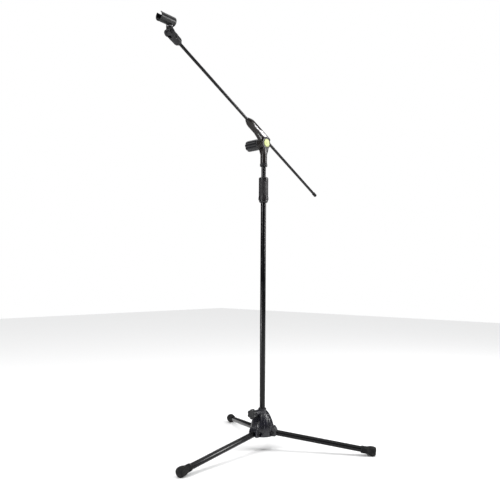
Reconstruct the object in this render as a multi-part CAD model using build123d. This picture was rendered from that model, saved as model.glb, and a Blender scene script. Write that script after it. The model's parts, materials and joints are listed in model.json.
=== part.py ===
from build123d import *
import os
from math import atan2, cos, degrees, pi, sin

# Boom microphone stand. Millimetres, +Z up, origin on the floor at the pole's axis.
# +X points along the boom towards the microphone end, which lies above the front leg.

# ---- driving dimensions -------------------------------------------------------------
RUN = 0.05                 # radial clearance of a turning or sliding fit

# tripod base
LEG_AZIMUTHS = {"front": 0, "left": 120, "right": 240}
FOOT_REACH = 345           # from the pole's axis to the middle of a foot's end
FOOT_END_Z = 12.9          # height of that middle
LEG_APEX_Z = 57.6          # height where the leg axes meet the pole's axis
LEG_PIVOT_REACH = 34
LEG_R = 8.75
LEG_WALL = 1.0
FOOT_R = 14.0
FOOT_LENGTH = 43

HUB_BOTTOM = 44
HUB_R = 37.5
HUB_TOP = 123.5
HUB_NECK_R = 13
HUB_BORE_R = 11
HUB_KNOB_Z = 114
BUSH_ABOVE_KNOB = 5.8
LUG_HALF_WIDTH = 15.25
SLOT_HALF_WIDTH = 9.75
RIB_COUNT = 12
FLUTE_WIDTH = 8.4
FLUTE_DEPTH = 2.4

# pole
OUTER_R = 8.75
OUTER_WALL = 1.0
OUTER_BOTTOM = 48
OUTER_TOP = 803
INNER_R = 7.4
INNER_WALL = 1.0
INNER_BOTTOM = 225
INNER_TOP = 888
CLUTCH_BOTTOM = 771
CLUTCH_TOP = 853
CLUTCH_R = 15.2

# boom joint
DRUM_Z = 963.2             # height of the tilt axis
EAR_R = 19
EAR_IN = 7.0               # inner face of an ear, from the boom's plane
EAR_OUT = 12.0
STEM_R = 10.8
STEM_BOTTOM = INNER_TOP + 9.3
BOLT_R = 4.0
BADGE_R = 12.5
TILT_KNOB_R = 18
TILT_KNOB_LENGTH = 54

# boom
TILT = 27.5                # boom's angle above the horizontal, degrees
BOOM_OFFSET = 16           # boom's axis above the tilt axis
ROD_R = 4.4
ROD_FRONT = 419            # along the boom from the tilt axis
ROD_BACK = -316
SLEEVE_R = 13.2
SLEEVE_BACK = -12
SLEEVE_SHOULDER = 80
SLEEVE_FRONT = 101

# microphone clip
THREAD_R = 7.9
INSERT_R = 9.0
CUP_START = ROD_FRONT - 0.2
INSERT_END = CUP_START + 20
CLIP_PIVOT = 457.8         # along the boom
CLIP_PIVOT_TO_WASHER = 14.5
CLIP_RISE = 32             # clip's axis above its pivot
CLIP_R = 13.0
CLIP_BORE_R = 11.0
CLIP_BACK = -14.5          # from the pivot, along X
CLIP_FRONT = 37
CLIP_LIP_ROUNDING = 7      # of the lips' ends, seen from the side
CLIP_MOUTH_ANGLE = 70      # opening at the top, degrees

# ---- derived places -----------------------------------------------------------------
LEG_SLOPE = degrees(atan2(LEG_APEX_Z - FOOT_END_Z, FOOT_REACH))
LEG_PIVOT_Z = LEG_APEX_Z - LEG_PIVOT_REACH * (LEG_APEX_Z - FOOT_END_Z) / FOOT_REACH
LEG_LENGTH = (FOOT_REACH - LEG_PIVOT_REACH) / cos(LEG_SLOPE * pi / 180)
BOOM_PLACE = Pos(0, 0, DRUM_Z) * Rot(0, -TILT, 0) * Pos(0, 0, BOOM_OFFSET)
CLIP_PLACE = Pos((BOOM_PLACE * Pos(CLIP_PIVOT, 0, 0)).position)


def leg_place(name):
    """The leg's own frame: origin at its pivot, +X along the leg towards the foot."""
    return Rot(0, 0, LEG_AZIMUTHS[name]) * Pos(LEG_PIVOT_REACH, 0, LEG_PIVOT_Z) * Rot(0, LEG_SLOPE, 0)


# ---- shape helpers ------------------------------------------------------------------
def round_z(radius, low, high):
    """A round bar along Z between two heights."""
    return Pos(0, 0, (low + high) / 2) * Cylinder(radius, high - low)


def round_x(radius, low, high):
    return Pos((low + high) / 2, 0, 0) * Rot(0, 90, 0) * Cylinder(radius, high - low)


def round_y(radius, low, high):
    return Pos(0, (low + high) / 2, 0) * Rot(90, 0, 0) * Cylinder(radius, high - low)


def box_between(low, high):
    size = [b - a for a, b in zip(low, high)]
    middle = [(a + b) / 2 for a, b in zip(low, high)]
    return Pos(*middle) * Box(*size)


def turned(points):
    """A solid turned about Z from its half outline of (radius, height) points."""
    outline = Polyline(*[(r, 0, z) for r, z in points], close=True)
    return revolve(make_face(outline), Axis.Z)


def turned_x(points):
    """A solid turned about X from its half outline of (place along X, radius) points."""
    outline = Polyline(*[(x, 0, r) for x, r in points], close=True)
    return revolve(make_face(outline), Axis.X)


def hexagon_bar(across_flats, low, high):
    """A hexagonal bar along Y."""
    sketch = Plane.XZ * RegularPolygon(across_flats / 2, 6, major_radius=False)
    return Pos(0, high, 0) * extrude(sketch, high - low)


def three_ways(shape):
    """The same shape at each of the three leg directions."""
    return [Rot(0, 0, azimuth) * shape for azimuth in LEG_AZIMUTHS.values()]


# ---- tripod hub ---------------------------------------------------------------------
def hub_dome(inset):
    """The hub's bell, with its outer surface moved inwards by the inset."""
    edge = HUB_R - inset
    neck = HUB_NECK_R - inset / 2
    low, shoulder_top = 60, HUB_TOP - 5 - inset
    side = Line((edge, 0, HUB_BOTTOM), (edge, 0, low))
    shoulder = Spline((edge, 0, low), (34.6 - inset, 0, 79), (28.2 - inset, 0, 97),
                      (20 - inset, 0, 111), (neck, 0, shoulder_top))
    rest = Polyline((neck, 0, shoulder_top), (neck, 0, HUB_TOP), (0, 0, HUB_TOP), (0, 0, HUB_BOTTOM),
                    (edge, 0, HUB_BOTTOM))
    return revolve(make_face([side, shoulder, *rest.edges()]), Axis.Z)


def hub_flutes():
    """The grooves between the ribs, which follow the bell and stop above its rim."""
    plates = []
    for index in range(RIB_COUNT):
        azimuth = (index + 0.5) * 360 / RIB_COUNT
        plate = box_between((0, -FLUTE_WIDTH / 2, 55), (HUB_R + 5, FLUTE_WIDTH / 2, 112))
        plate = fillet(plate.edges().filter_by(Axis.X), FLUTE_WIDTH / 2 - 0.3)
        plates.append(Rot(0, 0, azimuth) * plate)
    return [plate - hub_dome(FLUTE_DEPTH) for plate in plates]


def hub_lug():
    """One leg lug, along +X, before its slot is cut."""
    low = HUB_BOTTOM - 1
    outline = Polyline((15, 0, low), (43, 0, low), (46.5, 0, low + 3.5), (46.5, 0, 60), (40, 0, 70),
                       (15, 0, 78), close=True)
    lug = Pos(0, LUG_HALF_WIDTH, 0) * extrude(make_face(outline), LUG_HALF_WIDTH * 2, dir=(0, -1, 0))
    return fillet(lug.edges().filter_by(Axis.Y).group_by(Axis.X)[-1], 4)


def leg_slot():
    """The space that a leg needs between its lug's cheeks, in the leg's own frame."""
    swing = round_y(9.1, -SLOT_HALF_WIDTH, SLOT_HALF_WIDTH)
    ahead = box_between((0, -SLOT_HALF_WIDTH, -45), (40, SLOT_HALF_WIDTH, 9.1))
    below = box_between((-9.1, -SLOT_HALF_WIDTH, -45), (0, SLOT_HALF_WIDTH, 0))
    return swing + ahead + below


def hub_body():
    hub = hub_dome(0)
    for flute in hub_flutes():
        hub -= flute
    for lug in three_ways(hub_lug()):
        hub += lug
    hub += Pos(0, 0, HUB_KNOB_Z) * round_x(9.5, 15, 36)
    for name in LEG_AZIMUTHS:
        hub -= leg_place(name) * leg_slot()
        hub -= leg_place(name) * round_y(3.0, -20, 20)
        for side in (-1, 1):
            near, far = sorted((side * LUG_HALF_WIDTH, side * 40))
            hub -= leg_place(name) * round_y(6.6, near, far)
    for azimuth in (60, 180, 300):
        hub -= Rot(0, 0, azimuth) * Pos(24.5, 0, 0) * round_z(7.5, HUB_BOTTOM - 5, 67)
    hub -= round_z(HUB_BORE_R, HUB_BOTTOM - 5, HUB_TOP + 5)
    hub -= Pos(0, 0, HUB_KNOB_Z) * round_x(5.6, 5, 15)
    hub -= Pos(0, 0, HUB_KNOB_Z) * round_x(BOLT_R + RUN, 10, 40)
    return hub


def hub_bush_upper():
    bore = OUTER_R + 2 * RUN
    low = HUB_KNOB_Z + BUSH_ABOVE_KNOB
    return turned([(bore, low), (HUB_BORE_R - 0.02, low), (HUB_BORE_R - 0.02, HUB_TOP), (12.4, HUB_TOP),
                   (12.4, HUB_TOP + 0.8), (11.6, HUB_TOP + 1.6), (bore, HUB_TOP + 1.6)])


def hub_bush_lower():
    low = OUTER_BOTTOM + 2
    high = low + 18
    return round_z(HUB_BORE_R - 0.02, low, high) - round_z(OUTER_R + 2 * RUN, low - 1, high + 1)


def hub_brake_pad():
    return Pos(0, 0, HUB_KNOB_Z) * round_x(5.5, OUTER_R + 0.3, 13)


def hub_screw():
    screw = round_x(BOLT_R, 13.1, 48)
    screw = chamfer(screw.edges().filter_by(GeomType.CIRCLE), 0.6)
    return Pos(0, 0, HUB_KNOB_Z) * screw


def hub_knob():
    """Six soft lobes on a short neck."""
    head = round_x(15, 41, 55)
    for index in range(6):
        valley = Rot(index * 60 + 30, 0, 0) * Pos(0, 0, 18.6) * round_x(6.2, 38, 60)
        head -= valley
    head = fillet(head.faces().sort_by(Axis.X)[-1].edges(), 2.2)
    head = fillet(head.faces().sort_by(Axis.X)[0].edges(), 1.0)
    knob = head + round_x(7.8, 36.6, 41) - round_x(4.0, 30, 48)
    knob -= round_x(7.0, 54, 60)
    return Pos(0, 0, HUB_KNOB_Z) * knob


def leg_pivot_bolts():
    bolt = round_y(3.0 - 0.01, -19.6, LUG_HALF_WIDTH)
    head = round_y(5.3, LUG_HALF_WIDTH, LUG_HALF_WIDTH + 3)
    head = fillet(head.edges().group_by(Axis.Y)[-1], 1.6)
    return [leg_place(name) * (bolt + head) for name in LEG_AZIMUTHS]


def leg_pivot_nuts():
    nut = hexagon_bar(10, -LUG_HALF_WIDTH - 4.2, -LUG_HALF_WIDTH) - round_y(3.0, -25, 0)
    return [leg_place(name) * nut for name in LEG_AZIMUTHS]


def leg_pivot_washers():
    washers = []
    for name in LEG_AZIMUTHS:
        for side in (-1, 1):
            near, far = sorted((side * (SLOT_HALF_WIDTH - 0.8), side * SLOT_HALF_WIDTH))
            washers.append(leg_place(name) * (round_y(7.0, near, far) - round_y(3.0, -20, 20)))
    return washers


# ---- legs ---------------------------------------------------------------------------
LEG_TUBE_START = 9.0
LEG_TUBE_END = LEG_LENGTH - 21


def leg_end(name):
    """The moulded fitting that closes the tube and carries the pivot."""
    eye = round_y(8.2, -LEG_R, LEG_R)
    block = box_between((0, -LEG_R, -8.2), (LEG_TUBE_START, LEG_R, 8.2))
    spigot = round_x(LEG_R - LEG_WALL, LEG_TUBE_START, LEG_TUBE_START + 32)
    return leg_place(name) * (eye + block + spigot - round_y(3.0 + RUN, -20, 20))


def leg_tube(name):
    tube = round_x(LEG_R, LEG_TUBE_START, LEG_TUBE_END)
    tube -= round_x(LEG_R - LEG_WALL, LEG_TUBE_START - 1, LEG_TUBE_END + 1)
    return leg_place(name) * tube


def leg_foot(name):
    """A flared rubber boot with a flat where it meets the floor."""
    start = LEG_LENGTH - FOOT_LENGTH
    back = Polyline((start, 0, LEG_R), (start, 0, LEG_R + 1.2), (start + 1, 0, LEG_R + 2))
    flare = Spline((start + 1, 0, LEG_R + 2), (start + 16, 0, LEG_R + 2.3),
                   (LEG_LENGTH - 6, 0, FOOT_R - 0.5), (LEG_LENGTH - 2.5, 0, FOOT_R))
    front = Polyline((LEG_LENGTH - 2.5, 0, FOOT_R), (LEG_LENGTH - 1, 0, FOOT_R), (LEG_LENGTH, 0, FOOT_R - 1),
                     (LEG_LENGTH + 0.8, 0, 0), (LEG_TUBE_END, 0, 0), (LEG_TUBE_END, 0, LEG_R),
                     (start, 0, LEG_R))
    foot = revolve(make_face([*back.edges(), flare, *front.edges()]), Axis.X)
    floor = box_between((-600, -600, -50), (600, 600, 0))
    return leg_place(name) * foot - floor


# ---- pole ---------------------------------------------------------------------------
def outer_tube():
    return round_z(OUTER_R, OUTER_BOTTOM, OUTER_TOP) - round_z(OUTER_R - OUTER_WALL, 0, 900)


def pole_end_plug():
    inside = OUTER_R - OUTER_WALL
    low = OUTER_BOTTOM - 3.5
    return turned([(0, low), (9.5, low), (10.4, low + 0.9), (10.4, OUTER_BOTTOM), (inside, OUTER_BOTTOM),
                   (inside, OUTER_BOTTOM + 18), (0, OUTER_BOTTOM + 18)])


def clutch_body():
    """Fixed on the outer tube: a tapered skirt and the spigot that the grip turns on."""
    bore = OUTER_R + 0.02
    return turned([(bore, CLUTCH_BOTTOM), (OUTER_R + 2.4, CLUTCH_BOTTOM), (13.9, CLUTCH_BOTTOM + 3),
                   (13.9, CLUTCH_BOTTOM + 8), (11.4, CLUTCH_BOTTOM + 8), (11.4, CLUTCH_BOTTOM + 44),
                   (9.2, CLUTCH_BOTTOM + 44), (9.2, OUTER_TOP), (bore, OUTER_TOP)])


def clutch_collet():
    """A split collet that the grip wedges on to the inner tube."""
    low = OUTER_TOP + 0.3
    bore = INNER_R + RUN
    collet = turned([(bore, low), (9.15, low), (9.15, low + 14), (10.9, low + 26), (10.9, low + 30),
                     (9.6, low + 34), (bore, low + 34)])
    for index in range(3):
        collet -= Rot(0, 0, index * 120 + 20) * box_between((5, -1, low + 10), (15, 1, low + 40))
    return collet


def clutch_grip():
    """The turning sleeve, with a bead at its bottom and shallow finger flutes."""
    low = CLUTCH_BOTTOM + 8.3
    high = CLUTCH_TOP - 9
    grip = turned([(11.5, low), (CLUTCH_R, low), (CLUTCH_R + 0.9, low + 1), (CLUTCH_R + 0.9, low + 9),
                   (CLUTCH_R, low + 10.5), (CLUTCH_R, high), (INNER_R + 1, high), (INNER_R + 1, high - 6),
                   (11.5, high - 6)])
    for index in range(16):
        groove = Rot(0, 0, index * 22.5) * Pos(CLUTCH_R + 1.3, 0, 0) * round_z(2.1, low + 15, high - 5)
        grip -= groove
    return grip


def clutch_cap():
    low = CLUTCH_TOP - 9
    return turned([(INNER_R + 0.5, low), (CLUTCH_R - 0.4, low), (CLUTCH_R, low + 0.8), (CLUTCH_R, low + 6),
                   (CLUTCH_R - 1.6, CLUTCH_TOP - 0.8), (9.4, CLUTCH_TOP), (INNER_R + 0.5, CLUTCH_TOP)])


def inner_tube():
    return round_z(INNER_R, INNER_BOTTOM, INNER_TOP) - round_z(INNER_R - INNER_WALL, 0, 1000)


def inner_tube_guide():
    spigot = INNER_R - INNER_WALL
    return round_z(OUTER_R - OUTER_WALL - 2 * RUN, INNER_BOTTOM - 7, INNER_BOTTOM) + \
        round_z(spigot, INNER_BOTTOM, INNER_BOTTOM + 18)


def tube_stud():
    stud = round_z(5.0, INNER_TOP, INNER_TOP + 19)
    stud = chamfer(stud.edges().sort_by(Axis.Z)[-1], 0.8)
    return round_z(INNER_R - INNER_WALL, INNER_TOP - 20, INNER_TOP) + stud


def lock_ring():
    ring = round_z(11.9, INNER_TOP, INNER_TOP + 9) - round_z(5.0, INNER_TOP - 1, INNER_TOP + 10)
    for index in range(18):
        ring -= Rot(0, 0, index * 20) * Pos(12.5, 0, 0) * round_z(1.1, INNER_TOP - 1, INNER_TOP + 10)
    return ring


# ---- boom joint ---------------------------------------------------------------------
def joint_stem():
    """The lower half of the joint: socket, taper, and two ears around the clamp's disc."""
    taper_low = DRUM_Z - 37
    base_low = DRUM_Z - 21
    slot_bottom = DRUM_Z - EAR_R + 0.4
    base_half = 11.5
    stem = round_z(STEM_R, STEM_BOTTOM, taper_low)
    foot_of_taper = Pos(0, 0, taper_low) * Circle(STEM_R)
    top_of_taper = Pos(0, 0, base_low) * RectangleRounded(2 * base_half, 2 * EAR_OUT, 4)
    stem += loft([foot_of_taper, top_of_taper])
    block = box_between((-base_half, -EAR_OUT, base_low), (base_half, EAR_OUT, DRUM_Z))
    stem += fillet(block.edges().filter_by(Axis.Z), 3.9)
    for side in (-1, 1):
        near, far = sorted((side * EAR_IN, side * EAR_OUT))
        ear = round_y(EAR_R, near, far)
        ear = fillet(ear.edges().filter_by(GeomType.CIRCLE).sort_by(Axis.Y)[-1 if side > 0 else 0], 1.2)
        stem += Pos(0, 0, DRUM_Z) * ear
    stem -= box_between((-30, -EAR_IN, slot_bottom), (30, EAR_IN, DRUM_Z + 30))
    stem -= Pos(0, 0, DRUM_Z) * round_y(BOLT_R + 0.02, -30, 30)
    stem -= Pos(0, 0, DRUM_Z) * round_y(7.5, 8.6, 20)
    stem -= round_z(5.0 + RUN, STEM_BOTTOM - 1, INNER_TOP + 20)
    return stem


def friction_washers():
    washer = round_y(16, 6.45, EAR_IN) - round_y(BOLT_R + 0.1, 0, 10)
    return [Pos(0, 0, DRUM_Z) * washer, Pos(0, 0, DRUM_Z) * mirror(washer, Plane.XZ)]


def tilt_bolt():
    return Pos(0, 0, DRUM_Z) * (round_y(BOLT_R, -49, 8.6) + round_y(7.3, 8.6, 11.7))


def joint_badge():
    """A plain round cap over the bolt's head."""
    cap = round_y(BADGE_R, EAR_OUT, EAR_OUT + 2)
    return Pos(0, 0, DRUM_Z) * fillet(cap.edges().sort_by(Axis.Y)[-1], 0.8)


def knob_washer():
    return Pos(0, 0, DRUM_Z) * (round_y(10.5, -EAR_OUT - 1.3, -EAR_OUT) - round_y(BOLT_R + 0.1, -20, 0))


def tilt_knob():
    """A long hand knob with shallow flutes and a rounded outer end."""
    near = -EAR_OUT - 1.6
    far = near - TILT_KNOB_LENGTH
    knob = round_y(TILT_KNOB_R, far, near)
    knob = fillet(knob.edges().filter_by(GeomType.CIRCLE).sort_by(Axis.Y)[0], 6)
    knob = fillet(knob.edges().filter_by(GeomType.CIRCLE).sort_by(Axis.Y)[-1], 2)
    for index in range(8):
        flute = Rot(0, index * 45 + 22.5, 0) * Pos(0, 0, TILT_KNOB_R + 3.2) * round_y(5, far - 5, near - 8)
        knob -= flute
    knob -= round_y(6.5, near - 20, near + 5)
    knob -= round_y(BOLT_R + 0.3, near - 37, near)
    return Pos(0, 0, DRUM_Z) * knob


def tilt_knob_insert():
    near = -EAR_OUT - 1.6
    return Pos(0, 0, DRUM_Z) * (round_y(6.5, near - 20, near) - round_y(BOLT_R + RUN, -60, 0))


def side_plate_region():
    """Where the light metal plate lies on the sleeve: wide at the back, a tongue at the front."""
    wide = Polyline((-8, 20, -6.8), (38, 20, -6.8), (44, 20, -5.6), (72, 20, -5.6), (74, 20, -4.1),
                    (72, 20, -2.6), (44, 20, -2.6), (36, 20, 5.4), (-6, 20, 5.4), close=True)
    return extrude(make_face(wide), 20, dir=(0, -1, 0))


def ear_clearance():
    """The room that the sleeve leaves for the two ears and their washers."""
    axis_below = Pos(0, 0, -BOOM_OFFSET)
    return axis_below * (round_y(EAR_R + 0.7, 6.4, 30) + round_y(EAR_R + 0.7, -30, -6.4))


def boom_clamp():
    """The split sleeve on its disc."""
    sleeve = turned_x([(SLEEVE_BACK, 0), (SLEEVE_BACK, SLEEVE_R - 3), (SLEEVE_BACK + 1, SLEEVE_R - 1),
                       (SLEEVE_BACK + 3, SLEEVE_R), (SLEEVE_SHOULDER, SLEEVE_R),
                       (SLEEVE_SHOULDER + 8, SLEEVE_R - 1.5), (SLEEVE_SHOULDER + 15, SLEEVE_R - 4),
                       (SLEEVE_FRONT, 6.5), (SLEEVE_FRONT, 0)])
    disc = round_y(18, -6.4, 6.4)
    web_outline = Polyline((5, 0, -30), (17.4, 0, -19.5), (50, 0, -12), (50, 0, -5), (0, 0, -5), close=True)
    web = Pos(0, 6.4, 0) * extrude(make_face(web_outline), 12.8, dir=(0, -1, 0))
    clamp = sleeve - ear_clearance() + web + Pos(0, 0, -BOOM_OFFSET) * disc
    clamp -= side_plate_region() - round_x(SLEEVE_R - 1.6, -20, 110)
    clamp -= round_x(ROD_R + 2 * RUN, -30, 120)
    clamp -= box_between((-40, -0.6, -40), (SLEEVE_FRONT + 5, 0.6, 0))
    clamp -= Pos(0, 0, -BOOM_OFFSET) * round_y(BOLT_R + 2 * RUN, -20, 20)
    return BOOM_PLACE * clamp


def clamp_side_plate():
    plate = (round_x(SLEEVE_R + 0.25, -20, 110) - round_x(SLEEVE_R - 1.6, -21, 111)) & side_plate_region()
    return BOOM_PLACE * (plate - ear_clearance())


# ---- boom ---------------------------------------------------------------------------
def boom_rod():
    return BOOM_PLACE * (round_x(ROD_R, ROD_BACK, ROD_FRONT) - round_x(ROD_R - 1.2, -400, 500))


def boom_tail_cap():
    cap = round_x(5.6, ROD_BACK - 6, ROD_BACK + 10)
    cap = fillet(cap.edges().filter_by(GeomType.CIRCLE).sort_by(Axis.X)[0], 3)
    return BOOM_PLACE * (cap - round_x(ROD_R, ROD_BACK, ROD_BACK + 11))


def boom_adapter():
    """The threaded end that the clip's base screws on to."""
    collar_end = ROD_FRONT - 0.6
    thread_end = ROD_FRONT + 18.5
    adapter = turned_x([(ROD_FRONT - 5, ROD_R), (ROD_FRONT - 5, 5.2), (ROD_FRONT - 3, 6.6), (collar_end, 6.6),
                        (collar_end, THREAD_R), (thread_end - 1, THREAD_R), (thread_end, THREAD_R - 0.9),
                        (thread_end, 0), (ROD_FRONT, 0), (ROD_FRONT, ROD_R)])
    return BOOM_PLACE * adapter


def clip_base():
    """A cup over the threaded adapter, ending in a fork."""
    shoulder = CLIP_PIVOT - 19
    cup = turned_x([(CUP_START, 0), (CUP_START, 9.4), (CUP_START + 1, 10.4), (CUP_START + 6, 12),
                    (shoulder, 12), (shoulder + 4, 11), (shoulder + 4, 0)])
    neck = box_between((shoulder - 2, -10.8, -10), (CLIP_PIVOT, 10.8, 10))
    neck &= round_x(12.6, shoulder - 2, CLIP_PIVOT)
    eye = Pos(CLIP_PIVOT, 0, 0) * round_y(10, -10.8, 10.8)
    gap = box_between((CLIP_PIVOT - 11, -5.2, -20), (CLIP_PIVOT + 20, 5.2, 20))
    base = cup + neck + eye - gap - round_x(INSERT_R + 0.02, CUP_START - 1, INSERT_END)
    base -= Pos(CLIP_PIVOT, 0, 0) * round_y(2.52, -20, 20)
    return BOOM_PLACE * base


def clip_base_insert():
    bore = round_x(THREAD_R + RUN, CUP_START - 1, INSERT_END + 1)
    return BOOM_PLACE * (round_x(INSERT_R, CUP_START, INSERT_END) - bore)


def clip_pivot_screw():
    screw = round_y(2.5, -14.5, 10.8) + round_y(4.8, 10.8, 13.6)
    screw -= box_between((-6, 12.6, -0.6), (6, 14, 0.6))
    return CLIP_PLACE * Rot(0, -TILT, 0) * screw


def clip_pivot_nut():
    nut = hexagon_bar(9, -14.4, -10.8) - round_y(2.5, -20, 0)
    return CLIP_PLACE * Rot(0, -TILT, 0) * nut


def clip_swivel():
    """The tongue between the fork's ears and the flange under the clip."""
    tongue = round_y(9.2, -5.0, 5.0) + box_between((-8, -5.0, 0), (8, 5.0, 11))
    flange = Pos(0, 0, 12.5) * Cylinder(9.2, 4)
    flange = fillet(flange.edges().filter_by(GeomType.CIRCLE), 1)
    swivel = tongue + flange - round_y(2.5 + RUN, -10, 10)
    return CLIP_PLACE * (swivel - round_z(2.0, 8, 20))


def clip_washer():
    low = CLIP_PIVOT_TO_WASHER
    return CLIP_PLACE * (round_z(9.6, low, low + 1.5) - round_z(2.05, 10, 20))


def clip_rivet():
    return CLIP_PLACE * (round_z(1.98, 9, 19) + round_z(4.5, 19, 20.4))


def clip_side_outline():
    """The clip seen from its side, with the ends of its lips rounded."""
    outline = box_between((CLIP_BACK, -30, -30), (CLIP_FRONT, 30, CLIP_R))
    back, front = outline.edges().filter_by(Axis.Y).group_by(Axis.Z)[-1].sort_by(Axis.X)
    outline = fillet(back, CLIP_LIP_ROUNDING)
    front = outline.edges().filter_by(Axis.Y).group_by(Axis.Z)[-1].sort_by(Axis.X)[-1]
    return fillet(front, CLIP_LIP_ROUNDING / 3)


def clip_shell():
    """The open clip that grips the microphone's handle."""
    flange_top = CLIP_PIVOT_TO_WASHER + 1.5 - CLIP_RISE
    shell = round_x(CLIP_R, CLIP_BACK, CLIP_FRONT)
    shell = fillet(shell.edges().filter_by(GeomType.CIRCLE).sort_by(Axis.X)[0], 1.9)
    shell += round_x(CLIP_R + 0.5, CLIP_FRONT - 4, CLIP_FRONT)
    pad = round_z(9.2, flange_top, 0) & box_between((-20, -20, flange_top - 1), (20, 20, -9))
    shell = (shell & clip_side_outline()) + pad
    shell -= round_x(CLIP_BORE_R, CLIP_BACK - 1, CLIP_FRONT + 1)
    half = CLIP_MOUTH_ANGLE / 2 * pi / 180
    reach = 40
    wedge = Polyline((-60, 0, 0), (-60, reach * sin(half), reach * cos(half)),
                     (-60, -reach * sin(half), reach * cos(half)), close=True)
    shell -= extrude(make_face(wedge), 120, dir=(1, 0, 0))
    shell -= round_z(2.05, -20, -8) + round_z(4.6, flange_top + 3, -8)
    return CLIP_PLACE * Pos(0, 0, CLIP_RISE) * shell


# ---- every node, by name ------------------------------------------------------------
NODES = {
    "hub_body": hub_body,
    "hub_bush_upper": hub_bush_upper,
    "hub_bush_lower": hub_bush_lower,
    "hub_brake_pad": hub_brake_pad,
    "hub_screw": hub_screw,
    "hub_knob": hub_knob,
    "leg_pivot_bolts": leg_pivot_bolts,
    "leg_pivot_nuts": leg_pivot_nuts,
    "leg_pivot_washers": leg_pivot_washers,
    "outer_tube": outer_tube,
    "pole_end_plug": pole_end_plug,
    "clutch_body": clutch_body,
    "clutch_collet": clutch_collet,
    "clutch_grip": clutch_grip,
    "clutch_cap": clutch_cap,
    "inner_tube": inner_tube,
    "inner_tube_guide": inner_tube_guide,
    "tube_stud": tube_stud,
    "lock_ring": lock_ring,
    "joint_stem": joint_stem,
    "friction_washers": friction_washers,
    "tilt_bolt": tilt_bolt,
    "joint_badge": joint_badge,
    "knob_washer": knob_washer,
    "tilt_knob": tilt_knob,
    "tilt_knob_insert": tilt_knob_insert,
    "boom_clamp": boom_clamp,
    "clamp_side_plate": clamp_side_plate,
    "boom_rod": boom_rod,
    "boom_tail_cap": boom_tail_cap,
    "boom_adapter": boom_adapter,
    "clip_base": clip_base,
    "clip_base_insert": clip_base_insert,
    "clip_pivot_screw": clip_pivot_screw,
    "clip_pivot_nut": clip_pivot_nut,
    "clip_swivel": clip_swivel,
    "clip_washer": clip_washer,
    "clip_rivet": clip_rivet,
    "clip_shell": clip_shell,
}


def save(node, shape):
    """Write one node, whose solids stay separate."""
    pieces = shape if isinstance(shape, list) else [shape]
    solids = [solid for piece in pieces for solid in piece.solids()]
    export_step(solids[0] if len(solids) == 1 else Compound(children=solids), f"parts/{node}.step")


os.makedirs("parts", exist_ok=True)
for node, make in NODES.items():
    save(node, make())
for leg in LEG_AZIMUTHS:
    save(f"leg_{leg}_end", leg_end(leg))
    save(f"leg_{leg}_tube", leg_tube(leg))
    save(f"leg_{leg}_foot", leg_foot(leg))
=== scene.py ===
import json
import math

import bmesh
import bpy
from mathutils import Matrix, Vector


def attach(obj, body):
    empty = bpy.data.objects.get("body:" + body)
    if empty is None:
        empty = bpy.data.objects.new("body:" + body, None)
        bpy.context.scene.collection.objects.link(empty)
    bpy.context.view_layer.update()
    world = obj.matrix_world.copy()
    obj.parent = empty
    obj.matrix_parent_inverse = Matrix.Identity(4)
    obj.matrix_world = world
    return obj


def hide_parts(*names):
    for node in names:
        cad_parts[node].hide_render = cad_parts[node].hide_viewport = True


# Looks of a boom microphone stand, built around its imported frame.
# Shapes are drawn in millimetres in their own frames, and placed in the frame's metres.
MM = 0.001

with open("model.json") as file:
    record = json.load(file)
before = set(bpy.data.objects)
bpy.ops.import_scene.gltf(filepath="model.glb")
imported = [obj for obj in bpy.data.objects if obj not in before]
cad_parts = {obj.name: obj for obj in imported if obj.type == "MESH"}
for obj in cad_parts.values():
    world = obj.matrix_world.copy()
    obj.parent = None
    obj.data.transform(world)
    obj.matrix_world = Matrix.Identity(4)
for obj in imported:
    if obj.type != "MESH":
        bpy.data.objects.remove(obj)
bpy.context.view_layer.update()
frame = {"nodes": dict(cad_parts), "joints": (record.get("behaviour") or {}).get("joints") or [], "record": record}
nodes = frame["nodes"]
joints = {joint["name"]: joint for joint in frame["joints"]}
slot_of = {row["node"]: row["material_slot"] for row in frame["record"]["subparts"]}
bodies = frame["record"]["behaviour"]["bodies"]
body_of = {node: body for body, members in bodies.items() for node in members}

# ---- camera and studio --------------------------------------------------------------
VIEW_AZIMUTH = 131.18      # degrees, 0 looks along +Y
VIEW_DISTANCE = 1.7358     # from the pole's axis, along the view
VIEW_SIDE = -0.0419        # camera's offset to its own right
VIEW_HEIGHT = 0.525
VIEW_PITCH = 3.13          # degrees upwards
VIEW_ROLL = 0.40
VIEW_LENS = 39.34
ROOM_LIGHT = 0.10          # all round, and dimmer than the white behind the stand
SKY_LIGHT = 2.5            # soft light from above, which whitens the floor evenly
SKY_SPREAD = 100           # degrees
STAND_MIDDLE = Vector((0, 0, 0.6))
FLOOR_REACH = 6


def add_camera():
    turn = math.radians(VIEW_AZIMUTH)
    pitch = math.radians(VIEW_PITCH)
    forward = Vector((-math.sin(turn), math.cos(turn), 0))
    right = Vector((math.cos(turn), math.sin(turn), 0))
    aim = forward * math.cos(pitch) + Vector((0, 0, math.sin(pitch)))
    roll = Matrix.Rotation(math.radians(VIEW_ROLL), 3, "Z").to_quaternion()
    data = bpy.data.cameras.new("view_camera")
    data.lens = VIEW_LENS
    data.sensor_width = 36
    camera = bpy.data.objects.new("view_camera", data)
    bpy.context.scene.collection.objects.link(camera)
    camera.location = right * VIEW_SIDE - forward * VIEW_DISTANCE + Vector((0, 0, VIEW_HEIGHT))
    camera.rotation_mode = "QUATERNION"
    camera.rotation_quaternion = aim.to_track_quat("-Z", "Y") @ roll
    bpy.context.scene.camera = camera


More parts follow.
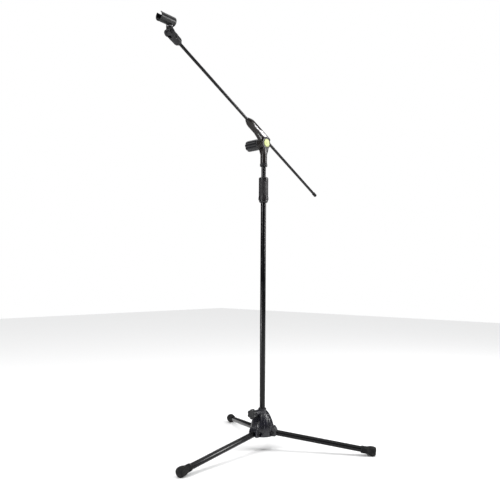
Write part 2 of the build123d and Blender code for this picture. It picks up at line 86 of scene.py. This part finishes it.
def add_light(name, size, power, azimuth, elevation, distance):
    """A soft panel that stands at an azimuth, given as for the camera, and faces the stand's middle."""
    turn, rise = math.radians(azimuth), math.radians(elevation)
    back = Vector((math.sin(turn) * math.cos(rise), -math.cos(turn) * math.cos(rise), math.sin(rise)))
    data = bpy.data.lights.new(name, "AREA")
    data.shape = "RECTANGLE"
    data.size, data.size_y = size
    data.energy = power
    lamp = bpy.data.objects.new(name, data)
    bpy.context.scene.collection.objects.link(lamp)
    lamp.location = STAND_MIDDLE + back * distance
    lamp.rotation_mode = "QUATERNION"
    lamp.rotation_quaternion = (-back).to_track_quat("-Z", "Y")


def add_world():
    """White behind the stand, and dimmer where it only lights the stand."""
    world = bpy.data.worlds.new("studio")
    world.use_nodes = True
    tree = world.node_tree
    backdrop = tree.nodes["Background"]
    backdrop.inputs["Color"].default_value = (1, 1, 1, 1)
    room = tree.nodes.new("ShaderNodeBackground")
    room.inputs["Color"].default_value = (0.97, 0.98, 1, 1)
    room.inputs["Strength"].default_value = ROOM_LIGHT
    seen = tree.nodes.new("ShaderNodeLightPath")
    either = tree.nodes.new("ShaderNodeMixShader")
    tree.links.new(seen.outputs["Is Camera Ray"], either.inputs[0])
    tree.links.new(room.outputs[0], either.inputs[1])
    tree.links.new(backdrop.outputs[0], either.inputs[2])
    tree.links.new(either.outputs[0], tree.nodes["World Output"].inputs["Surface"])
    bpy.context.scene.world = world


def add_studio():
    """Low panels to both sides, whose reflections run along the tubes and ribs, and a soft sky."""
    add_world()
    bpy.context.scene.view_settings.view_transform = "Standard"
    add_light("key", (0.6, 0.8), 34, VIEW_AZIMUTH - 50, 25, 2.6)
    add_light("low", (0.5, 0.4), 18, VIEW_AZIMUTH - 55, -9, 2.6)
    add_light("side", (0.6, 1.0), 55, VIEW_AZIMUTH + 86, 17, 2.5)
    sky = bpy.data.lights.new("sky", "SUN")
    sky.energy = SKY_LIGHT
    sky.angle = math.radians(SKY_SPREAD)
    bpy.context.scene.collection.objects.link(bpy.data.objects.new("sky", sky))


def add_floor():
    corners = [(-1, -1), (1, -1), (1, 1), (-1, 1)]
    mesh = bpy.data.meshes.new("floor")
    mesh.from_pydata([(x * FLOOR_REACH, y * FLOOR_REACH, 0) for x, y in corners], [], [(0, 1, 2, 3)])
    floor = bpy.data.objects.new("floor", mesh)
    bpy.context.scene.collection.objects.link(floor)
    paper = bpy.data.materials.new("floor_paper")
    paper.use_nodes = True
    shader = paper.node_tree.nodes["Principled BSDF"]
    shader.inputs["Base Color"].default_value = (0.94, 0.94, 0.94, 1)
    shader.inputs["Roughness"].default_value = 0.9
    mesh.materials.append(paper)


# ---- materials ----------------------------------------------------------------------
def new_shader(name, roughness, metallic=0.0, specular=0.5):
    """A material whose even numbers sit on the shader's own sockets."""
    material = bpy.data.materials.new(name)
    material.use_nodes = True
    shader = material.node_tree.nodes["Principled BSDF"]
    shader.inputs["Roughness"].default_value = roughness
    shader.inputs["Metallic"].default_value = metallic
    shader.inputs["Specular IOR Level"].default_value = specular
    return material, material.node_tree, shader


def noise_node(tree, size_mm, detail=3, stretch=(1, 1, 1)):
    """Noise in the object's own coordinates, with blobs of about that size."""
    place = tree.nodes.new("ShaderNodeTexCoord")
    mapping = tree.nodes.new("ShaderNodeMapping")
    mapping.inputs["Scale"].default_value = stretch
    noise = tree.nodes.new("ShaderNodeTexNoise")
    noise.inputs["Scale"].default_value = 1 / (size_mm * MM)
    noise.inputs["Detail"].default_value = detail
    tree.links.new(place.outputs["Object"], mapping.inputs["Vector"])
    tree.links.new(mapping.outputs["Vector"], noise.inputs["Vector"])
    return noise.outputs["Fac"]


def ranged(tree, value, low, high, out_low, out_high):
    node = tree.nodes.new("ShaderNodeMapRange")
    node.inputs["From Min"].default_value = low
    node.inputs["From Max"].default_value = high
    node.inputs["To Min"].default_value = out_low
    node.inputs["To Max"].default_value = out_high
    tree.links.new(value, node.inputs["Value"])
    return node.outputs["Result"]


def product(tree, first, second):
    node = tree.nodes.new("ShaderNodeMath")
    node.operation = "MULTIPLY"
    tree.links.new(first, node.inputs[0])
    tree.links.new(second, node.inputs[1])
    return node.outputs["Value"]


def blended(tree, factor, low, high):
    """A colour between two, where each is a colour or another node's output."""
    node = tree.nodes.new("ShaderNodeMix")
    node.data_type = "RGBA"
    tree.links.new(factor, node.inputs["Factor"])
    for socket, colour in ((node.inputs[6], low), (node.inputs[7], high)):
        if isinstance(colour, bpy.types.NodeSocket):
            tree.links.new(colour, socket)
        else:
            socket.default_value = (*colour, 1)
    return node.outputs[2]


def edge_mask(tree, start, end, patch_mm):
    """High on convex edges, broken up by patches."""
    geometry = tree.nodes.new("ShaderNodeNewGeometry")
    edge = ranged(tree, geometry.outputs["Pointiness"], start, end, 0, 1)
    patches = ranged(tree, noise_node(tree, patch_mm, 4), 0.42, 0.62, 0.15, 1)
    return product(tree, edge, patches)


def bumped(tree, shader, height, strength, distance_mm):
    bump = tree.nodes.new("ShaderNodeBump")
    bump.inputs["Strength"].default_value = strength
    bump.inputs["Distance"].default_value = distance_mm * MM
    tree.links.new(height, bump.inputs["Height"])
    tree.links.new(bump.outputs["Normal"], shader.inputs["Normal"])


def moulded(name, colour, paler, worn, roughness, grain_mm=0.35, grain=0.2, specular=0.3):
    """Moulded plastic: fine spark-eroded grain, cloudy colour and slightly polished edges."""
    material, tree, shader = new_shader(name, roughness, specular=specular)
    cloud = ranged(tree, noise_node(tree, 14), 0.35, 0.65, 0, 1)
    base = blended(tree, cloud, colour, paler)
    base = blended(tree, edge_mask(tree, 0.53, 0.6, 3), base, worn)
    tree.links.new(base, shader.inputs["Base Color"])
    rough = ranged(tree, noise_node(tree, 5, 5), 0.3, 0.7, roughness - 0.07, roughness + 0.08)
    tree.links.new(rough, shader.inputs["Roughness"])
    bumped(tree, shader, noise_node(tree, grain_mm, 2), grain, 0.06)
    return material


def powder_coat(name, colour, paler, roughness):
    """Gloss black coating on a drawn tube: orange peel, faint streaks along it and dusty patches."""
    material, tree, shader = new_shader(name, roughness, specular=0.22)
    dust = ranged(tree, noise_node(tree, 30, 5), 0.48, 0.75, 0, 1)
    tree.links.new(blended(tree, dust, colour, paler), shader.inputs["Base Color"])
    streak = noise_node(tree, 3, 4, stretch=(1, 1, 0.08))
    rough = ranged(tree, streak, 0.3, 0.7, roughness - 0.06, roughness + 0.1)
    tree.links.new(rough, shader.inputs["Roughness"])
    bumped(tree, shader, noise_node(tree, 1.6, 2), 0.12, 0.08)
    return material


def rubber(name, colour, dusty):
    """Matt rubber with dust that lies on it in patches."""
    material, tree, shader = new_shader(name, 0.72, specular=0.2)
    dust = ranged(tree, noise_node(tree, 6, 6), 0.45, 0.72, 0, 0.8)
    base = blended(tree, dust, colour, dusty)
    base = blended(tree, edge_mask(tree, 0.52, 0.6, 2), base, dusty)
    tree.links.new(base, shader.inputs["Base Color"])
    tree.links.new(ranged(tree, noise_node(tree, 4, 4), 0.3, 0.7, 0.62, 0.85), shader.inputs["Roughness"])
    bumped(tree, shader, noise_node(tree, 0.5, 3), 0.35, 0.08)
    return material


def metal(name, colour, darker, roughness, streak_mm=0.6):
    """Plated or cast metal: cloudy tone, fine tool streaks and varying roughness."""
    material, tree, shader = new_shader(name, roughness, metallic=1.0)
    cloud = ranged(tree, noise_node(tree, 5, 5), 0.35, 0.7, 0, 1)
    tree.links.new(blended(tree, cloud, colour, darker), shader.inputs["Base Color"])
    rough = ranged(tree, noise_node(tree, 2, 5), 0.3, 0.7, roughness - 0.08, roughness + 0.12)
    tree.links.new(rough, shader.inputs["Roughness"])
    bumped(tree, shader, noise_node(tree, streak_mm, 3, stretch=(1, 1, 0.2)), 0.15, 0.05)
    return material


def grey(value, blue=0.0):
    return value, value, value + blue


def make_materials():
    """Each material slot's look."""
    return {
        "hub_plastic": moulded("hub_plastic", grey(0.005, 0.003), grey(0.009, 0.005), grey(0.04, 0.015),
                               0.24, specular=0.5),
        "bush_plastic": moulded("bush_plastic", grey(0.01, 0.002), grey(0.016, 0.001), grey(0.04), 0.45),
        "steel": metal("steel", grey(0.52, 0.02), grey(0.38, 0.02), 0.30),
        "black_steel": metal("black_steel", grey(0.02, 0.002), grey(0.035, 0.002), 0.36),
        "brass": metal("brass", (0.74, 0.56, 0.27), (0.58, 0.42, 0.19), 0.32),
        "knob_plastic": moulded("knob_plastic", grey(0.005, 0.001), grey(0.009, 0.001), grey(0.03), 0.28),
        "tube_black": powder_coat("tube_black", grey(0.0015, 0.0005), grey(0.005, 0.001), 0.2),
        "rubber": rubber("rubber", grey(0.004, 0.0005), (0.02, 0.019, 0.018)),
        "fitting_plastic": moulded("fitting_plastic", grey(0.004, 0.001), grey(0.008, 0.001), grey(0.03),
                                   0.3),
        "grip": moulded("grip", (0.006, 0.005, 0.006), (0.010, 0.009, 0.010), grey(0.03),
                        0.4, grain_mm=0.6, grain=0.4),
        "joint_plastic": moulded("joint_plastic", (0.007, 0.005, 0.005), (0.012, 0.010, 0.009),
                                 (0.04, 0.032, 0.03), 0.28),
        "zinc": metal("zinc", (0.46, 0.45, 0.46), (0.34, 0.33, 0.34), 0.38, streak_mm=1.2),
        "badge": moulded("badge", (0.50, 0.55, 0.22), (0.56, 0.61, 0.27), (0.66, 0.71, 0.42),
                         0.3, grain=0.05),
        "clip_plastic": moulded("clip_plastic", grey(0.004, 0.001), grey(0.008, 0.001), grey(0.03, 0.002),
                                0.34),
    }


# ---- places -------------------------------------------------------------------------
BOOM_OFFSET = 16           # boom's axis above the tilt axis
LEG_APEX_Z = 57.6          # height where the legs' axes meet the pole's axis
LEGS = ("front", "left", "right")
PI = math.pi

# Sizes in millimetres: heights are on the pole, and the knobs' are from their own joints.
TUBE_WALL = 1.0
ROD_WALL = 1.2
ROD_BACK = -316
OUTER_R = 8.75
HUB_TOP = 123.5
SCREW_R = 4.05
HUB_KNOB_R, HUB_KNOB_NEAR, HUB_KNOB_FAR = 15, 41, 55
CLUTCH_R = 15.2
CLUTCH_BOTTOM, CLUTCH_TOP = 771, 853
GRIP_BOTTOM, GRIP_TOP = 779.3, 844
GRIP_FLUTES = 16
RING_R, RING_BOTTOM, RING_TOP = 11.9, 888, 897
RING_GROOVES = 18
EAR_OUT = 12               # outer face of the joint's ears, from the boom's plane
BADGE_R = 12.5
TILT_KNOB_R, TILT_KNOB_NEAR, TILT_KNOB_FAR = 18, -13.6, -67.6
THREAD_R, THREAD_PITCH = 7.9, 1.4


def frame_matrix(origin, along, side, up):
    """A frame with its origin in metres, and its own coordinates in millimetres."""
    columns = Matrix((along, side, up)).transposed().to_4x4()
    return Matrix.Translation(origin) @ columns @ Matrix.Scale(MM, 4)


def joint_point(name):
    return Vector(joints[name]["pos_m"])


def pole_frame():
    return frame_matrix(Vector((0, 0, 0)), Vector((1, 0, 0)), Vector((0, 1, 0)), Vector((0, 0, 1)))


def boom_frame(origin=None):
    """+X along the boom, from the tilt axis towards the microphone."""
    along = Vector(joints["boom_slide"]["axis"])
    up = Vector((-along.z, 0, along.x))
    if origin is None:
        origin = joint_point("boom_tilt") + up * BOOM_OFFSET * MM
    return frame_matrix(origin, along, Vector((0, 1, 0)), up)


def leg_frame(name):
    """+X along the leg from its pivot, +Y along the pivot."""
    pivot = joint_point(f"leg_{name}_fold")
    outwards = Vector((pivot.x, pivot.y, 0))
    slope = math.atan2(LEG_APEX_Z * MM - pivot.z, outwards.length)
    along = outwards.normalized() * math.cos(slope) - Vector((0, 0, math.sin(slope)))
    side = Vector(joints[f"leg_{name}_fold"]["axis"])
    return frame_matrix(pivot, along, side, along.cross(side))


def span(node, axis, place):
    """How far a node reaches along one axis of a frame, in millimetres."""
    back = place.inverted()
    reach = [(back @ vertex.co)[axis] for vertex in nodes[node].data.vertices]
    return min(reach), max(reach)


AT_ORIGIN = Matrix.Identity(4)
AXES = Vector((1, 0, 0)), Vector((0, 1, 0)), Vector((0, 0, 1))
Z_TO_X = Matrix(((0, 0, 1, 0), (0, 1, 0, 0), (-1, 0, 0, 0), (0, 0, 0, 1)))
Z_TO_Y = Matrix(((1, 0, 0, 0), (0, 0, 1, 0), (0, -1, 0, 0), (0, 0, 0, 1)))

pole = pole_frame()
boom = boom_frame()
LEG_R = span("leg_front_tube", 1, leg_frame("front"))[1]
LUG_HALF_WIDTH = LEG_R + 6.5
INNER_R = span("inner_tube", 0, pole)[1]
ROD_R = span("boom_rod", 1, boom)[1]


# ---- mesh helpers -------------------------------------------------------------------
def rounded(corners, steps=4):
    """An outline from (radius, height, rounding) corners, each turned into a small curve."""
    points = []
    for index, corner in enumerate(corners):
        here = Vector(corner[:2])
        rounding = corner[2] if len(corner) > 2 else 0
        if rounding == 0:
            points.append(here)
            continue
        before = Vector(corners[index - 1][:2]) - here
        after = Vector(corners[(index + 1) % len(corners)][:2]) - here
        start = here + before.normalized() * min(rounding, before.length * 0.49)
        end = here + after.normalized() * min(rounding, after.length * 0.49)
        for step in range(steps + 1):
            t = step / steps
            points.append(start * (1 - t) ** 2 + here * 2 * t * (1 - t) + end * t ** 2)
    return points


def divided(outline, longest):
    """The same outline with no stretch longer than that."""
    points = []
    for start, end in zip(outline, outline[1:] + outline[:1]):
        count = max(1, math.ceil((end - start).length / longest))
        points += [start.lerp(end, step / count) for step in range(count)]
    return points


def lathe(outline, count=64, shape=None):
    """A mesh turned about Z from (radius, height) points, where shape(angle, radius, height) may
    change the radius."""
    made = bmesh.new()
    rings = []
    for radius, height in outline:
        if radius < 1e-6:
            rings.append([made.verts.new((0, 0, height))] * count)
            continue
        ring = []
        for step in range(count):
            angle = 2 * PI * step / count
            reach = shape(angle, radius, height) if shape else radius
            ring.append(made.verts.new((reach * math.cos(angle), reach * math.sin(angle), height)))
        rings.append(ring)
    for low, high in zip(rings, rings[1:] + rings[:1]):
        for step in range(count):
            after = (step + 1) % count
            corners = list(dict.fromkeys((low[step], low[after], high[after], high[step])))
            if len(corners) > 2:
                made.faces.new(corners)
    bmesh.ops.recalc_face_normals(made, faces=made.faces)
    return made


def hexagon(angle, flats):
    """Radius of a hexagon, given across its flats, at an angle."""
    sixth = PI / 3
    return flats / 2 / math.cos((angle + sixth / 2) % sixth - sixth / 2)


def scallop(angle, radius, count, cut_radius, cut_depth, soft):
    """Radius of a round bar with so many round grooves along it."""
    pitch = 2 * PI / count
    off = angle % pitch - pitch / 2
    centre = radius - cut_depth + cut_radius
    inside = cut_radius ** 2 - (centre * math.sin(off)) ** 2
    cut = centre * math.cos(off) - math.sqrt(max(0, inside))
    share = min(1, max(0, 0.5 + 0.5 * (cut - radius) / soft))
    return cut * (1 - share) + radius * share - soft * share * (1 - share)


def eased(value, low, high):
    """From 0 at low to 1 at high, smoothly."""
    t = min(1, max(0, (value - low) / (high - low)))
    return t * t * (3 - 2 * t)


def joined(parts):
    """Several meshes in one, and the originals freed."""
    made = bmesh.new()
    for part in parts:
        mesh = bpy.data.meshes.new("part")
        part.to_mesh(mesh)
        made.from_mesh(mesh)
        bpy.data.meshes.remove(mesh)
        part.free()
    return made


def softened(made, voxel_mm, passes, keep):
    """The same solid in metres with its edges cast round: remeshed, smoothed and thinned out."""
    mesh = bpy.data.meshes.new("solid")
    made.to_mesh(mesh)
    made.free()
    solid = bpy.data.objects.new("solid", mesh)
    bpy.context.scene.collection.objects.link(solid)
    remesh = solid.modifiers.new("remesh", "REMESH")
    remesh.mode = "VOXEL"
    remesh.voxel_size = voxel_mm * MM
    smooth = solid.modifiers.new("smooth", "SMOOTH")
    smooth.factor = 0.5
    smooth.iterations = passes
    thin = solid.modifiers.new("thin", "DECIMATE")
    thin.ratio = keep
    evaluated = solid.evaluated_get(bpy.context.evaluated_depsgraph_get())
    done = bmesh.new()
    done.from_mesh(evaluated.data)
    bpy.data.objects.remove(solid)
    bpy.data.meshes.remove(mesh)
    return done


def node_mesh(name):
    """A CAD node's own mesh, welded, in metres."""
    made = bmesh.new()
    made.from_mesh(nodes[name].data)
    bmesh.ops.remove_doubles(made, verts=made.verts, dist=1e-6)
    return made


def show(made, place, *stands_for, sharp=35):
    """Puts a finished mesh in place, where it stands for those nodes and takes their body and finish."""
    first = stands_for[0]
    made.transform(place)
    mesh = bpy.data.meshes.new(f"{first}_fine")
    made.to_mesh(mesh)
    made.free()
    mesh.polygons.foreach_set("use_smooth", [True] * len(mesh.polygons))
    mesh.set_sharp_from_angle(angle=math.radians(sharp))
    mesh.materials.append(materials[slot_of[first]])
    piece = bpy.data.objects.new(f"{first}_fine", mesh)
    bpy.context.scene.collection.objects.link(piece)
    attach(piece, body_of[first])
    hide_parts(*stands_for)


# ---- turned pieces ------------------------------------------------------------------
def tube(radius, wall, low, high, lip=0.4):
    """A drawn tube along Z with deburred ends."""
    inner = radius - wall
    corners = [(inner, low, lip), (radius, low, lip), (radius, high, lip), (inner, high, lip)]
    return lathe(rounded(corners, steps=3), count=72)


def hexagon_nut(bore, flats, low, high):
    """A hexagonal nut with both rims chamfered."""
    half = flats / 2
    rim = half - 0.3
    outline = [Vector(p) for p in ((bore, low + 0.4), (bore + 0.4, low), (rim, low), (half, low + 0.7),
                                   (half, high - 0.7), (rim, high), (bore, high))]
    return lathe(outline, count=72,
                 shape=lambda angle, radius, height: hexagon(angle, flats) if radius == half else radius)


def flat_ring(bore, radius, low, high, bore_edge, edge, **more):
    """A washer or ring, with its rims rounded by so much."""
    corners = [(bore, low, bore_edge), (radius, low, edge), (radius, high, edge), (bore, high, bore_edge)]
    return lathe(rounded(corners), **more)


def pivot_bolt():
    """A button-head bolt with a hexagonal socket."""
    seat, end, shank, head = LUG_HALF_WIDTH, -LUG_HALF_WIDTH - 4.3, 2.99, 5.3
    outline = rounded([
        (0, end), (shank, end, 0.6), (shank, seat), (head, seat, 0.3), (head, seat + 1.7, 1.2),
        (3.6, seat + 2.9, 0.8), (1.9, seat + 3, 0.2), (1.8, seat + 1.2), (0, seat + 1)])

    def socketed(angle, radius, height):
        inside = height > seat + 0.8 and radius < 2.2
        return hexagon(angle, 2 * radius * 0.93) if inside else radius

    return lathe(outline, count=72, shape=socketed)


def hub_bush():
    """The pole's bush, whose rim stands on the hub."""
    bore, rim, low, high = OUTER_R + 0.1, 12.4, HUB_TOP - 3.7, HUB_TOP + 1.6
    return lathe(rounded([
        (bore, low), (10.98, low), (10.98, HUB_TOP), (rim, HUB_TOP, 0.4), (rim, high, 0.9),
        (bore, high, 0.5)]))


def hub_knob():
    """Six soft lobes on a short neck."""
    neck, near, far = 7.8, HUB_KNOB_NEAR, HUB_KNOB_FAR
    outline = rounded([
        (SCREW_R, near - 4.4), (neck, near - 4.4, 0.5), (neck, near, 0.8), (HUB_KNOB_R, near, 1.4),
        (HUB_KNOB_R, far, 3), (neck + 0.2, far, 0.8), (neck - 0.8, far - 0.9, 0.4), (0, far - 0.9),
        (0, far - 7), (SCREW_R, far - 7)], steps=6)

    def lobed(angle, radius, height):
        if radius < neck + 0.6:
            return radius
        return radius * scallop(angle, HUB_KNOB_R, 6, 6.2, 2.6, 0.9) / HUB_KNOB_R

    return lathe(divided(outline, 2.5), count=180, shape=lobed)


def tilt_knob():
    """A long hand knob with shallow flutes that run out before its inner rim."""
    near, far = TILT_KNOB_NEAR, TILT_KNOB_FAR
    outline = rounded([
        (6.5, near, 0.5), (TILT_KNOB_R, near, 2.4), (TILT_KNOB_R, far, 8), (8.6, far, 0.8),
        (7.8, far + 0.8, 0.5), (0, far + 0.8), (0, far + 17), (4.3, far + 17), (4.3, near - 20),
        (6.5, near - 20)], steps=8)

    def fluted(angle, radius, height):
        if radius < 9:
            return radius
        share = 1 - eased(height, near - 9.9, near - 6.4)
        return radius * (1 - share + share * scallop(angle, TILT_KNOB_R, 8, 5, 1.8, 0.6) / TILT_KNOB_R)

    return lathe(divided(outline, 2), count=192, shape=fluted)


def clutch_body():
    """The collar below the grip, and the sleeve that the grip turns on."""
    bore, collar, sleeve, low = OUTER_R + 0.03, 13.9, 11.4, CLUTCH_BOTTOM
    return lathe(rounded([
        (bore, low, 0.4), (11.15, low, 0.7), (collar, low + 3, 1), (collar, low + 8, 0.3),
        (sleeve, low + 8), (sleeve, low + 44), (9.2, low + 44), (9.2, low + 32), (bore, low + 32)]))


def clutch_grip():
    """The turning sleeve with its bead and its finger flutes."""
    low, high, bead, bore, neck = GRIP_BOTTOM, GRIP_TOP, CLUTCH_R + 0.9, 11.5, 8.4
    outline = rounded([
        (bore, low), (CLUTCH_R, low, 0.4), (bead, low + 0.8, 0.9), (bead, low + 9, 1),
        (CLUTCH_R, low + 10.6, 0.8), (CLUTCH_R, high, 0.5), (neck, high), (neck, high - 6), (bore, high - 6)])

    def fluted(angle, radius, height):
        if radius < 13:
            return radius
        share = eased(height, low + 13, low + 16) * (1 - eased(height, high - 6, high - 3.5))
        cut = scallop(angle + PI / GRIP_FLUTES, radius, GRIP_FLUTES, 2.1, 0.8, 0.25)
        return radius + share * (cut - radius)

    return lathe(divided(outline, 2), count=256, shape=fluted)


def clutch_cap():
    """The domed cap on top of the grip."""
    low, high, bore = GRIP_TOP, CLUTCH_TOP, 7.9
    return lathe(rounded([
        (bore, low), (CLUTCH_R - 0.4, low, 0.2), (CLUTCH_R, low + 0.8, 0.5), (CLUTCH_R, low + 6, 1.4),
        (13.6, high - 0.8, 1.2), (9.4, high, 0.6), (bore, high, 0.4)]), count=96)


def lock_ring():
    """The ring below the joint, with fine finger grooves."""
    def grooved(angle, radius, height):
        cut = scallop(angle + PI / RING_GROOVES, RING_R, RING_GROOVES, 1.1, 0.5, 0.2)
        return radius * cut / RING_R if radius > 10 else radius

    return flat_ring(5.0, RING_R, RING_BOTTOM, RING_TOP, 0.3, 0.9, count=216, shape=grooved)


def joint_badge():
    """A dished disc on the joint's ear, across from the knob."""
    rim, low = BADGE_R, EAR_OUT
    return lathe(rounded([
        (0, low), (rim, low, 0.2), (rim, low + 1.8, 0.5), (rim - 0.8, low + 2, 0.3),
        (rim - 1.3, low + 1.5, 0.2), (0, low + 1.6)]))


def tail_cap():
    """The round-ended cap on the rod's back end."""
    radius, inner, start, end = 5.6, ROD_BACK, ROD_BACK + 10, ROD_BACK - 6
    return lathe(rounded([
        (ROD_R, start, 0.3), (radius, start, 0.6), (radius, end, 3.4), (0, end), (0, inner), (ROD_R, inner)]))


def leg_foot(leg, place):
    """A bulbous rubber boot with three grooves behind, flat where it stands on the floor."""
    start, end = span(f"leg_{leg}_foot", 0, place)
    bore_end = span(f"leg_{leg}_tube", 0, place)[1]
    end += 1.2
    bore, back = LEG_R + 0.05, LEG_R + 2.2
    corners = [(bore, start, 0.3), (back - 0.8, start, 0.8), (back - 0.1, start + 2.5, 1)]
    for groove in (5.5, 9, 12.5):
        corners += [(back, start + groove, 0.4), (back - 0.7, start + groove + 0.7, 0.3),
                    (back, start + groove + 1.4, 0.4)]
    corners += [(back + 0.2, start + 17, 3), (12.9, start + 22, 3), (14.3, start + 28, 3),
                (14.6, end - 9, 4), (13.2, end - 2.4, 3), (8.5, end, 3), (0, end), (0, bore_end),
                (bore, bore_end)]
    foot = lathe(divided(rounded(corners, steps=5), 3), count=72)
    foot.transform(place @ Z_TO_X)
    for vertex in foot.verts:
        vertex.co.z = max(vertex.co.z, 0)
    return foot


def boom_adapter(start, end):
    """The collar on the rod's end and its threaded part, whose grooves show when the clip is off."""
    collar, collar_end = 6.6, start + 4.4
    corners = [(ROD_R, start), (5.2, start, 0.3), (collar, start + 2, 0.5), (collar, collar_end),
               (THREAD_R, collar_end)]
    for turn in range(int((end - collar_end - 2) / THREAD_PITCH)):
        crest = collar_end + 0.5 + turn * THREAD_PITCH
        corners += [(THREAD_R, crest), (THREAD_R - 0.5, crest + THREAD_PITCH / 2)]
    corners += [(THREAD_R, end - 1), (THREAD_R - 0.9, end), (0, end), (0, start + 5), (ROD_R, start + 5)]
    return lathe(rounded(corners))


def repeated(make, places):
    """One mesh that has the same piece at each of those places."""
    copies = []
    for place in places:
        copy = make()
        copy.transform(place)
        copies.append(copy)
    return joined(copies)


def solid_node(node, voxel_mm, passes, keep=0.5):
    """A CAD node's own solid with its edges cast round."""
    show(softened(node_mesh(node), voxel_mm, passes, keep), AT_ORIGIN, node, sharp=60)


# ---- start --------------------------------------------------------------------------
add_camera()
add_studio()
add_floor()
materials = make_materials()
for name, node in nodes.items():
    node.data.materials.clear()
    node.data.materials.append(materials[slot_of[name]])

# tripod hub
solid_node("hub_body", 0.7, 4, keep=0.9)
show(hub_bush(), pole, "hub_bush_upper")
show(hub_knob(), frame_matrix(Vector((0, 0, joint_point("hub_knob_turn").z)), *AXES) @ Z_TO_X, "hub_knob")
leg_places = [leg_frame(leg) @ Z_TO_Y for leg in LEGS]
show(repeated(pivot_bolt, leg_places), AT_ORIGIN, "leg_pivot_bolts")
show(repeated(lambda: hexagon_nut(3.0, 10, -LUG_HALF_WIDTH - 4.2, -LUG_HALF_WIDTH), leg_places),
     AT_ORIGIN, "leg_pivot_nuts")

# legs
for leg in LEGS:
    place = leg_frame(leg)
    solid_node(f"leg_{leg}_end", 0.6, 3)
    show(tube(LEG_R, TUBE_WALL, *span(f"leg_{leg}_tube", 0, place)), place @ Z_TO_X, f"leg_{leg}_tube")
    show(leg_foot(leg, place), AT_ORIGIN, f"leg_{leg}_foot")

# pole
show(tube(OUTER_R, TUBE_WALL, *span("outer_tube", 2, pole)), pole, "outer_tube")
show(clutch_body(), pole, "clutch_body")
show(clutch_grip(), pole, "clutch_grip")
show(clutch_cap(), pole, "clutch_cap")
show(tube(INNER_R, TUBE_WALL, *span("inner_tube", 2, pole)), pole, "inner_tube")
show(lock_ring(), pole, "lock_ring")

# boom joint
tilt_axis = frame_matrix(joint_point("boom_tilt"), *AXES) @ Z_TO_Y
solid_node("joint_stem", 0.45, 3)
show(joint_badge(), tilt_axis, "joint_badge")
show(flat_ring(4.1, 10.5, -EAR_OUT - 1.3, -EAR_OUT, 0.3, 0.3), tilt_axis, "knob_washer")
show(tilt_knob(), tilt_axis, "tilt_knob")
solid_node("boom_clamp", 0.5, 3)
solid_node("clamp_side_plate", 0.35, 2)

# boom
along_boom = boom @ Z_TO_X
show(tube(ROD_R, ROD_WALL, *span("boom_rod", 0, boom)), along_boom, "boom_rod")
show(tail_cap(), along_boom, "boom_tail_cap")
show(boom_adapter(*span("boom_adapter", 0, boom)), along_boom, "boom_adapter")

# microphone clip
clip = frame_matrix(joint_point("clip_tilt"), *AXES)
clip_pin = boom_frame(joint_point("clip_tilt")) @ Z_TO_Y
solid_node("clip_base", 0.4, 3)
solid_node("clip_pivot_screw", 0.2, 2)
show(hexagon_nut(2.5, 9, *span("clip_pivot_nut", 1, clip)), clip_pin, "clip_pivot_nut")
solid_node("clip_swivel", 0.35, 3)
show(flat_ring(2.05, 9.6, *span("clip_washer", 2, clip), 0.2, 0.4), clip, "clip_washer")
solid_node("clip_shell", 0.4, 3)
